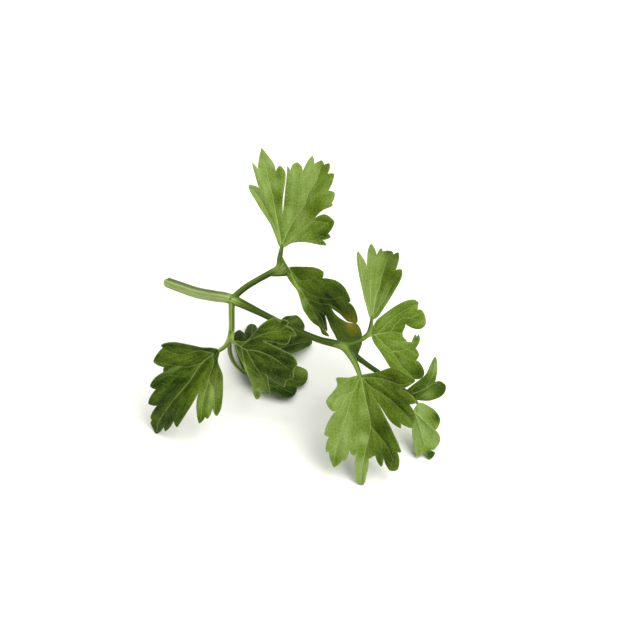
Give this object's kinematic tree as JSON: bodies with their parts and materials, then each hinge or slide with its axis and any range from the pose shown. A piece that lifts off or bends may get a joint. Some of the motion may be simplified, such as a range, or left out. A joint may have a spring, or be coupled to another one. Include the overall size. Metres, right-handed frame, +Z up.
{
  "type": "parsley sprig",
  "caption": "Cut sprig of flat-leaf parsley with a branching stalk and toothed leaflets, lying propped on its lower leaf tips; a garnish or food-styling prop.",
  "frame": {"origin": "middle of the bottom of the sprig's box, on the surface that it lies on", "axes": "+Z up; +X along the stalk, from the cut end towards the last leaflets; +Y towards the leaf that lies at the back"},
  "size_m": [0.0908, 0.0768, 0.0709],
  "materials": {
    "stalk": "satin",
    "leaf": "satin"
  },
  "bodies": {
    "root": {"main_stalk": "stalk", "upper_branch": "stalk", "arched_leaf_stalk": "stalk", "lower_branch": "stalk", "right_branch": "stalk", "front_leaf_stalk": "stalk", "floor_leaf_stalk": "stalk", "leaf_top": "leaf", "leaf_arched": "leaf", "leaf_left": "leaf", "leaf_inner": "leaf", "leaf_floor": "leaf", "leaf_upright": "leaf", "leaf_hooked": "leaf", "leaf_front": "leaf", "leaf_end_upper": "leaf", "leaf_end_lower": "leaf"}
  },
  "joints": []
}
